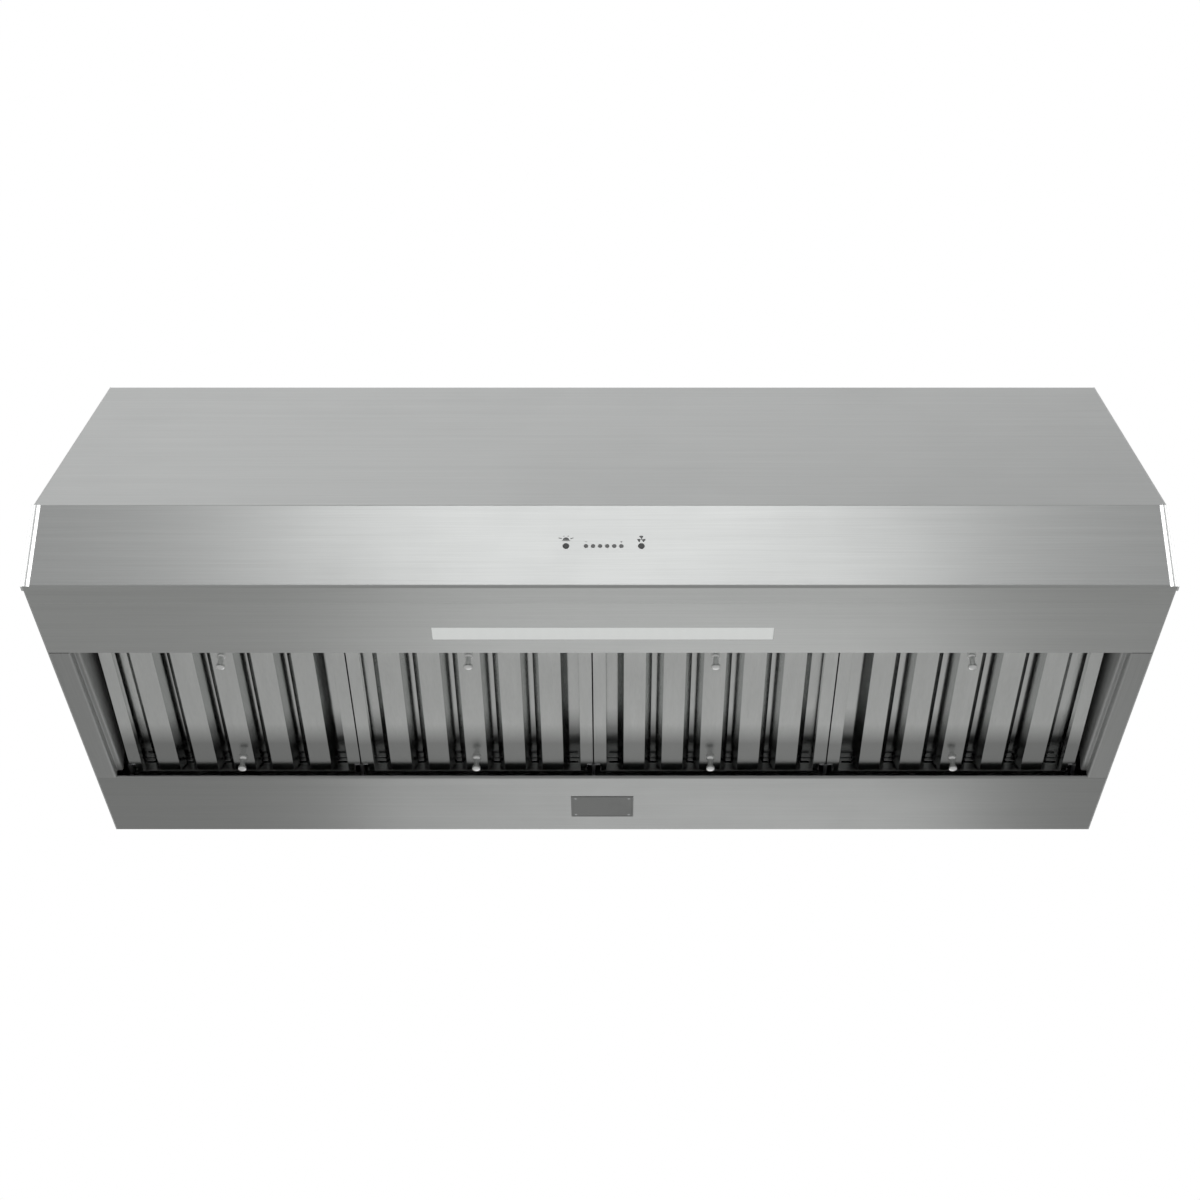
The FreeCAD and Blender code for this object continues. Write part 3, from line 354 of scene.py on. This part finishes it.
def galvanisedSteel(look):
    material, tree, shader, place = startMaterial("galvanisedSteel", 1.0, 0.45)
    flakes = tree.nodes.new("ShaderNodeTexVoronoi")
    flakes.inputs["Scale"].default_value = look["flakeScale"]
    link(tree, place, flakes.inputs["Vector"])
    brightness = tree.nodes.new("ShaderNodeSeparateColor")
    link(tree, flakes.outputs["Color"], brightness.inputs[0])
    wear = placeGroup(tree, edgeWear, place, Reach=0.0006, Amount=0.5)
    marks = placeGroup(tree, handling, place, Scale=8.0)
    tone = blendColours(tree, brightness.outputs[0], look["dark"], look["light"])
    tone = blendColours(tree, addMath(tree, "MULTIPLY", marks["Mask"], 0.4), tone, look["dull"])
    link(tree, tone, shader.inputs["Base Color"])
    link(tree, spread(tree, brightness.outputs[0], 0.36, 0.55), shader.inputs["Roughness"])
    link(tree, bumpFrom(tree, brightness.outputs[0], 0.08, 0.0002, wear["Normal"]),
         shader.inputs["Normal"])
    return material


galvanised = galvanisedSteel({"flakeScale": 110.0, "dark": (0.40, 0.42, 0.43),
                              "light": (0.58, 0.60, 0.61), "dull": (0.34, 0.35, 0.355)})


def moulded(name, look):
    material, tree, shader, place = startMaterial(name, 0.0, look["roughness"])
    shader.inputs["IOR"].default_value = look.get("ior", 1.46)
    wear = placeGroup(tree, edgeWear, place, Reach=look.get("edge", 0.0005), Amount=0.35)
    marks = placeGroup(tree, handling, place, Scale=look.get("markScale", 12.0))
    speckle = addNoise(tree, place, look["grainScale"], 2.0)
    tone = blendColours(tree, speckle, look["dark"], look["light"])
    tone = blendColours(tree, wear["Mask"], tone, look["rubbed"])
    link(tree, tone, shader.inputs["Base Color"])
    gloss = addMath(tree, "ADD", addMath(tree, "MULTIPLY", marks["Mask"], 0.12), look["roughness"])
    link(tree, gloss, shader.inputs["Roughness"])
    link(tree, bumpFrom(tree, speckle, look["bump"], 0.0002, wear["Normal"]), shader.inputs["Normal"])
    return material


blackPlastic = moulded("blackMouldedPlastic", {
    "roughness": 0.42, "grainScale": 900.0, "bump": 0.25, "dark": (0.016, 0.016, 0.017),
    "light": (0.035, 0.035, 0.036), "rubbed": (0.09, 0.09, 0.09)})
keyPlastic = moulded("darkKeyPlastic", {
    "roughness": 0.28, "grainScale": 700.0, "bump": 0.08, "dark": (0.045, 0.047, 0.047),
    "light": (0.075, 0.078, 0.078), "rubbed": (0.18, 0.18, 0.18)})
indicatorPlastic = moulded("indicatorPlastic", {
    "roughness": 0.2, "grainScale": 500.0, "bump": 0.05, "dark": (0.12, 0.124, 0.123),
    "light": (0.17, 0.175, 0.174), "rubbed": (0.3, 0.3, 0.3)})
platePaint = moulded("greyPlatePaint", {
    "roughness": 0.5, "grainScale": 600.0, "bump": 0.1, "dark": (0.24, 0.246, 0.243),
    "light": (0.285, 0.292, 0.29), "rubbed": (0.4, 0.4, 0.4)})
motorEnamel = moulded("blackMotorEnamel", {
    "roughness": 0.34, "grainScale": 260.0, "bump": 0.15, "dark": (0.02, 0.02, 0.022),
    "light": (0.045, 0.045, 0.048), "rubbed": (0.2, 0.2, 0.2)})
canAluminium = brushedSteel("drawnCanAluminium", {
    **shellLook, "stretch": (300, 300, 20), "dark": (0.68, 0.69, 0.7), "light": (0.8, 0.81, 0.82),
    "anisotropic": 0.0})
leadSheath = moulded("leadSheath", {
    "roughness": 0.48, "grainScale": 400.0, "bump": 0.1, "dark": (0.02, 0.02, 0.02),
    "light": (0.045, 0.045, 0.045), "rubbed": (0.1, 0.1, 0.1)})
sealFoam = moulded("sealFoam", {
    "roughness": 0.85, "grainScale": 1500.0, "bump": 0.8, "dark": (0.02, 0.02, 0.02),
    "light": (0.07, 0.07, 0.07), "rubbed": (0.12, 0.12, 0.12)})
boardGreen = moulded("boardGreen", {
    "roughness": 0.35, "grainScale": 300.0, "bump": 0.1, "dark": (0.01, 0.09, 0.035),
    "light": (0.02, 0.16, 0.06), "rubbed": (0.4, 0.3, 0.1)})
boardWhite = moulded("boardWhite", {
    "roughness": 0.4, "grainScale": 300.0, "bump": 0.1, "dark": (0.7, 0.7, 0.68),
    "light": (0.82, 0.82, 0.8), "rubbed": (0.6, 0.6, 0.55)})
markInk = moulded("darkMarkInk", {
    "roughness": 0.5, "grainScale": 900.0, "bump": 0.05, "dark": (0.16, 0.165, 0.165),
    "light": (0.2, 0.205, 0.205), "rubbed": (0.3, 0.3, 0.3)})


def frostedLens(look):
    # opal plastic, faintly brighter over each diode behind it
    material, tree, shader, place = startMaterial("frostedLens", 0.0, 0.45)
    axes = tree.nodes.new("ShaderNodeSeparateXYZ")
    link(tree, place, axes.inputs[0])
    wave = addMath(tree, "COSINE", addMath(tree, "MULTIPLY", axes.outputs[0],
                                           2 * math.pi / look["diodePitch"]))
    speckle = addNoise(tree, place, 600.0, 2.0)
    tone = blendColours(tree, spread(tree, wave, 0.3, 0.7), look["dim"], look["bright"])
    link(tree, tone, shader.inputs["Base Color"])
    link(tree, tone, shader.inputs["Emission Color"])
    shader.inputs["Emission Strength"].default_value = look["glow"]
    link(tree, spread(tree, speckle, 0.38, 0.52), shader.inputs["Roughness"])
    link(tree, bumpFrom(tree, speckle, 0.2, 0.0002), shader.inputs["Normal"])
    return material


lensOpal = frostedLens({"diodePitch": 0.01525, "dim": (0.78, 0.8, 0.79),
                        "bright": (0.82, 0.84, 0.83), "glow": 0.34})

dress(shellSteel, "front_panel", "top_panel", "back_panel")
dress(rearSteelPaintedShade, "rear_panel")
dress(lampPanelSteel, "lamp_panel")
dress(sideSteel, "side_panels")
dress(railSteelPaintedShade, "side_rails")
dress(polishedSteel, "end_trims")
dress(galvanised, "blower_shelf", "grease_trough", "left_blower_scroll", "right_blower_scroll",
      "inlet_rings", "outlet_box", "duct_collar", "motor_brackets", "junction_box", "junction_cover",
      "control_box", "lamp_housing", "left_blower_wheel", "right_blower_wheel",
      "left_wheel_ring", "right_wheel_ring",
      "front_damper_flap", "rear_damper_flap")
dress(pinSteel, "pivot_posts", "left_blower_shaft", "right_blower_shaft", "damper_pins",
      "motor_screws", "magnet_catches")
dress(lensOpal, "lamp_lens")
dress(boardWhite, "led_board", "lamp_driver")
dress(platePaint, "rating_plate")
dress(keyPlastic, "lamp_button", "fan_button")
dress(indicatorPlastic, "indicator_lenses")
dress(blackPlastic, "button_guide", "terminal_block", "lead_grommet")
dress(boardGreen, "control_board")
dress(motorEnamel, "left_blower_motor", "right_blower_motor")
dress(canAluminium, "run_capacitors")
dress(sealFoam, "damper_seals")
dress(leadSheath, "inner_leads")
for number in range(1, 5):
    dress(filterSteel, f"filter_{number}_frame", f"filter_{number}_baffles")
    dress(knobSteel, f"filter_{number}_knobs")
print("stage: frame dressed")


fasciaSize = {"lean": 6.0, "rise": 104.0}  # millimetres, as all the sizes below


def fasciaMatrix(look=fasciaSize):
    # local X across, local Y out of the fascia, local Z up it, from its front bottom edge
    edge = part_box("side_panels")[0]
    lean = math.atan2(look["lean"], look["rise"])
    return (Matrix.Translation((0, edge.y, edge.z)) @ Matrix.Rotation(-lean, 4, "X")
            @ Matrix.Scale(-1, 4, (0, 1, 0)))


trimSize = {"width": 10.0, "crown": 0.96, "wrap": 8.0,
            "height": 104.17, "groove": 0.35, "grooveStep": 6, "steps": 16, "lift": 0.02, "edge": 0.5,
            "outerRound": 0.6}


def makeEndTrims(look):
    # domed cap with a fine groove, folded round the side panel's front edge
    bm = bmesh.new()
    outer, side = cornersOf("end_trims")[0].x, cornersOf("side_panels")[0].x
    inner = outer + look["width"]
    middle, half = (outer + inner) / 2, (inner - outer) / 2
    front = []
    for i in range(look["steps"] + 1):
        x = outer + (inner - outer) * i / look["steps"]
        drop = ((x - middle) / half) ** 2
        cut = look["groove"] if i == look["grooveStep"] else 0
        front.append((x, look["crown"] * (1 - drop) - cut + look["lift"]))
    outline = front + [(inner, 0), (side, 0), (side, -look["wrap"]),
                       (outer + look["outerRound"], -look["wrap"]),
                       (outer, look["outerRound"] - look["wrap"])]
    for hand in (1, -1):
        handed = fasciaMatrix() @ Matrix.Scale(hand, 4, (1, 0, 0))
        rings = [[bm.verts.new(handed @ Vector((mm(x), mm(y), mm(z)))) for x, y in outline]
                 for z in (0, look["edge"], look["height"] - look["edge"], look["height"])]
        count = len(outline)
        for low, high in zip(rings, rings[1:]):
            for i in range(count):
                j = (i + 1) % count
                bm.faces.new((low[i], low[j], high[j], high[i]))
        bm.faces.new(rings[0])
        bm.faces.new(rings[-1])
    piece = pieceFromBm("domed_end_trims", bm, "hood", polishedSteel)
    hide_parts("end_trims")


knobSize = {"radius": 5.0, "neck": 3.2, "length": 18.0, "rim": 3.0, "taper": 1.0, "round": 0.7,
            "steps": 40, "rearPlace": 34.0, "frontPlace": 63.0}
filterSize = {"rise": 31.2, "run": 313.0, "pinToEnd": 8.0, "pinToFace": 6.8}


def makeKnobs(look, filterLook):
    # waisted knobs, lathed; two hang under each filter
    r, n, e, rim, t = (look[k] for k in ("radius", "neck", "round", "rim", "taper"))
    end = -look["length"]
    profile = [(0, 0), (r, 0), (r, e - rim), (r - e * 0.3, 0.3 * e - rim), (n + e, -rim - t * 0.8),
               (n + 0.2 * e, -rim - t - 0.4), (n, -rim - t - 1.2), (n, end + rim + 2 * t + 1.2),
               (n + 0.2 * e, end + rim + 2 * t + 0.4), (n + e, end + rim + 1.8 * t),
               (r - 0.3 * e, end + rim + t - 0.3 * e), (r, end + rim + t - e), (r, end + 2 * e),
               (r - 0.3 * e, end + e), (r - 1.2 * e, end + 0.35 * e), (r - 3 * e, end + 0.05),
               (0, end + 0.02)]
    profile = [(mm(a), mm(b)) for a, b in profile]
    turn = math.atan(filterLook["rise"] / filterLook["run"])
    length = filterLook["run"] / math.cos(turn)
    for number in range(1, 5):
        bm = bmesh.new()
        low, high = cornersOf(f"filter_{number}_knobs")
        pin = joints[f"filter_{number}_tilt"]["pos_m"]
        pivot = Matrix.Translation((0, pin[1], pin[2])) @ Matrix.Rotation(-turn, 4, "X")
        for place in (look["rearPlace"], length - look["frontPlace"]):
            spot = (mm((low.x + high.x) / 2), mm(filterLook["pinToEnd"] - place),
                    mm(-filterLook["pinToFace"]))
            lathe(bm, profile, look["steps"], pivot @ Matrix.Translation(spot))
        piece = pieceFromBm(f"turned_knobs_{number}", bm, f"filter_{number}", knobSteel)
        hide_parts(f"filter_{number}_knobs")


plateSize = {"face": -0.4, "borderFace": -0.6, "borderRoot": -0.3, "border": 2.2, "rivet": 1.7,
             "rivetInset": 5.5, "rivetFace": -0.58}


def makeRatingPlate(look):
    # blank plate with a raised border and a rivet in each corner
    bm = bmesh.new()
    low, high = cornersOf("rating_plate")
    root = Matrix.Translation((0, 0, mm(high.z)))
    b = look["border"]
    roundedBox(bm, (mm(low.x), mm(low.y), mm(look["face"])), (mm(high.x), mm(high.y), 0), mm(0.12), 2,
               root)
    bars = [(low[0], low[1], high[0], low[1] + b), (low[0], high[1] - b, high[0], high[1]),
            (low[0], low[1] + b, low[0] + b, high[1] - b), (high[0] - b, low[1] + b, high[0], high[1] - b)]
    for x0, y0, x1, y1 in bars:
        roundedBox(bm, (mm(x0), mm(y0), mm(look["borderFace"])),
                   (mm(x1), mm(y1), mm(look["borderRoot"])), mm(0.1), 2, root)
    plate = pieceFromBm("bordered_plate", bm, "hood", platePaint, smooth=False)
    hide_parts("rating_plate")
    bm = bmesh.new()
    r, top = look["rivet"], look["rivetFace"]
    head = [(0, top), (0.5 * r, top + 0.03), (0.85 * r, top + 0.1), (r, look["face"]), (r, 0.0),
            (0, 0.0)]
    inset = look["rivetInset"]
    for x in (low[0] + inset, high[0] - inset):
        for y in (low[1] + inset, high[1] - inset):
            lathe(bm, [(mm(a), mm(c)) for a, c in head], 20,
                  root @ Matrix.Translation((mm(x), mm(y), 0)))
    pieceFromBm("plate_rivets", bm, "hood", pinSteel)


def flatMark(bm, points, frame, lift=0.12):
    # thin inlaid mark; points are (x, z) in millimetres on the fascia
    outer = [bm.verts.new(frame @ Vector((mm(x), mm(lift), mm(z)))) for x, z in points]
    inner = [bm.verts.new(frame @ Vector((mm(x), 0, mm(z)))) for x, z in points]
    count = len(points)
    bm.faces.new(outer)
    bm.faces.new(inner[::-1])
    for i in range(count):
        j = (i + 1) % count
        bm.faces.new((outer[i], inner[i], inner[j], outer[j]))


def arcPoints(cx, cz, r, start, stop, steps):
    return [(cx + r * math.cos(math.radians(start + (stop - start) * i / steps)),
             cz + r * math.sin(math.radians(start + (stop - start) * i / steps)))
            for i in range(steps + 1)]


markSize = {"level": 60.4, "tick": 57.0, "lensRadius": 2.2,
            "lampDrop": 1.2, "shade": 3.4, "barHalf": 4.4, "barLow": -2.4, "barHigh": -1.7,
            "rays": {20: 8.4, 65: 6.0, 115: 6.0, 160: 8.4}, "rayStart": 4.8, "rayHalf": 0.4,
            "blades": (90, 210, 330), "blade": 4.3, "bladeRoot": 1.2, "hub": 0.8,
            "stroke": 1.2, "strokeHalf": 0.22, "strokeGap": 0.24}


def flatBar(bm, x0, z0, x1, z1, frame):
    flatMark(bm, [(x0, z0), (x1, z0), (x1, z1), (x0, z1)], frame)


def makeMarks(look):
    # lamp with rays over the left button, fan over the right one, minus and plus over the row
    bm = bmesh.new()
    fascia = fasciaMatrix()
    x, z = sum(corner.x for corner in cornersOf("lamp_button")) / 2, look["level"]
    foot = z - look["lampDrop"]
    flatMark(bm, arcPoints(x, foot, look["shade"], 0, 180, 18), fascia)
    flatBar(bm, x - look["barHalf"], z + look["barLow"], x + look["barHalf"], z + look["barHigh"], fascia)
    for angle, reach in look["rays"].items():
        a = math.radians(angle)
        along = Vector((math.cos(a), math.sin(a)))
        across = Vector((-math.sin(a), math.cos(a))) * look["rayHalf"]
        near, far = along * look["rayStart"], along * reach
        corners = [near + across, near - across, far - across, far + across]
        flatMark(bm, [(x + c.x, foot + c.y) for c in corners], fascia)
    x = sum(corner.x for corner in cornersOf("fan_button")) / 2
    for turn in look["blades"]:
        outer = arcPoints(x, z, look["blade"], turn - 30, turn + 34, 8)
        root = arcPoints(x, z, look["bladeRoot"], turn + 20, turn - 40, 4)
        flatMark(bm, outer + root, fascia)
    flatMark(bm, arcPoints(x, z, look["hub"], 0, 342, 19), fascia)
    z, long, thin, gap = look["tick"], look["stroke"], look["strokeHalf"], look["strokeGap"]
    low, high = cornersOf("indicator_lenses")
    for x in (low.x + look["lensRadius"], high.x - look["lensRadius"]):
        flatBar(bm, x - long, z - thin, x + long, z + thin, fascia)
    flatBar(bm, x - thin, z + gap, x + thin, z + long, fascia)
    flatBar(bm, x - thin, z - long, x + thin, z - gap, fascia)
    pieceFromBm("control_marks", bm, "hood", markInk, smooth=False)


weldSpots = {"radius": 2.6, "rise": 0.06, "ringRadius": 131.0, "ringCount": 12, "frontSeam": 9.0,
             "rearSeam": 8.8, "pitch": 92.0, "seamCount": 13, "knockoutClear": 16.0}


def makeWeldSpots(look):
    # faint spot welds on the top panel, round the collar and along the seams
    bm = bmesh.new()
    low, high = cornersOf("top_panel")
    collarLow, collarHigh = cornersOf("duct_collar")
    middle = (collarLow + collarHigh) / 2
    places = []
    for i in range(look["ringCount"]):
        a = 2 * math.pi * (i + 0.5) / look["ringCount"]
        places.append((middle.x + look["ringRadius"] * math.cos(a),
                       middle.y + look["ringRadius"] * math.sin(a)))
    for i in range(look["seamCount"]):
        x = (i - (look["seamCount"] - 1) / 2) * look["pitch"]
        places += [(x, low.y - look["frontSeam"]), (x, high.y - look["rearSeam"])]
    r, h = look["radius"], look["rise"]
    dish = [(0, h * 0.3), (0.55 * r, h * 0.4), (0.8 * r, h), (0.95 * r, h * 0.7), (r, 0), (0, 0)]
    hole = Vector(mounts["power_knockout"]["pos_m"]) * 1000
    for x, y in places:
        if math.hypot(x - hole.x, y - hole.y) < look["knockoutClear"]:
            continue
        lathe(bm, [(mm(a), mm(c)) for a, c in dish], 24,
              Matrix.Translation((mm(x), mm(y), mm(high.z))))
    pieceFromBm("spot_welds", bm, "hood", weldSteel)


weldSteel = brushedSteel("heatTintedWeldSteel", {
    **shellLook, "stretch": (300, 300, 300), "dark": (0.3, 0.27, 0.24), "light": (0.46, 0.43, 0.4),
    "anisotropic": 0.0, "edge": 0.0002})
makeEndTrims(trimSize)
makeKnobs(knobSize, filterSize)
makeRatingPlate(plateSize)
makeMarks(markSize)
makeWeldSpots(weldSpots)
print("stage: detail pieces made")


stageLook = {
    "floorHeight": -2.3, "floorHalf": 14, "floorColour": (0.72, 0.72, 0.71), "backdrop": 1.0,
    "ambient": 0.45,
}


def makeFloor(look):
    material, tree, shader, place = startMaterial("paleFloor", 0.0, 0.8)
    speckle = addNoise(tree, place, 6.0, 3.0)
    colour = look["floorColour"]
    tone = blendColours(tree, speckle, tuple(0.97 * c for c in colour), colour)
    link(tree, tone, shader.inputs["Base Color"])
    bm = bmesh.new()
    bmesh.ops.create_grid(bm, x_segments=1, y_segments=1, size=look["floorHalf"])
    bmesh.ops.translate(bm, vec=(0, 0, look["floorHeight"]), verts=bm.verts)
    mesh = bpy.data.meshes.new("floor")
    bm.to_mesh(mesh)
    bm.free()
    floor = bpy.data.objects.new("floor", mesh)
    mesh.materials.append(material)
    bpy.context.scene.collection.objects.link(floor)


def makeWorld(look):
    world = bpy.data.worlds.new("studio")
    bpy.context.scene.world = world
    world.use_nodes = True
    tree = world.node_tree
    tree.nodes.clear()
    output = tree.nodes.new("ShaderNodeOutputWorld")
    seen = tree.nodes.new("ShaderNodeBackground")
    seen.inputs["Color"].default_value = (1, 1, 1, 1)
    seen.inputs["Strength"].default_value = look["backdrop"]
    glow = tree.nodes.new("ShaderNodeBackground")
    glow.inputs["Color"].default_value = (1, 1, 1, 1)
    glow.inputs["Strength"].default_value = look["ambient"]
    mix = tree.nodes.new("ShaderNodeMixShader")
    path = tree.nodes.new("ShaderNodeLightPath")
    link(tree, path.outputs["Is Camera Ray"], mix.inputs[0])
    link(tree, glow.outputs[0], mix.inputs[1])
    link(tree, seen.outputs[0], mix.inputs[2])
    link(tree, mix.outputs[0], output.inputs[0])


def softLight(name, place, target, size, power):
    data = bpy.data.lights.new(name, "AREA")
    data.shape = "RECTANGLE"
    data.size, data.size_y = size
    data.energy = power
    lamp = bpy.data.objects.new(name, data)
    lamp.location = place
    lamp.rotation_euler = (Vector(target) - Vector(place)).to_track_quat("-Z", "Y").to_euler()
    bpy.context.scene.collection.objects.link(lamp)


cameraView = {"place": (0.0183, -2.9035, -1.8528), "tiltUp": 29.43, "lens": 80.5, "shiftX": -0.0143}
lightPlan = {
    # place, aim, size, power; the first fills the middle of the fascia, the second lights the slope
    "fasciaLight": ((0, -3.4, 1.9), (0, -0.4, -0.4), (1.6, 1.2), 10.2),
    "slopeLight": ((-0.8, 1.6, 4.2), (0, -0.1, -0.2), (9.0, 2.4), 28.5),
    "underLight": ((0.14, 3.1, -2.0), (0, 0, -0.45), (1.5, 1.6), 6.6),
    "leftEdgeLight": ((-3.4, -3.0, 1.6), (-0.6, -0.45, -0.4), (1.5, 1.8), 9),
    "rightEdgeLight": ((3.4, -3.0, 1.6), (0.6, -0.45, -0.4), (1.5, 1.8), 9),
}


def makeCamera(look):
    data = bpy.data.cameras.new("camera")
    data.sensor_width = 36
    data.lens = look["lens"]
    data.shift_x = look["shiftX"]
    data.clip_end = 100
    camera = bpy.data.objects.new("camera", data)
    camera.location = look["place"]
    camera.rotation_euler = (math.radians(90 + look["tiltUp"]), 0, 0)
    bpy.context.scene.collection.objects.link(camera)
    bpy.context.scene.camera = camera


makeFloor(stageLook)
makeWorld(stageLook)
for name, (place, aim, size, power) in lightPlan.items():
    softLight(name, place, aim, size, power)
makeCamera(cameraView)
bpy.context.scene.view_settings.view_transform = "Standard"
print("stage: lights and camera placed")
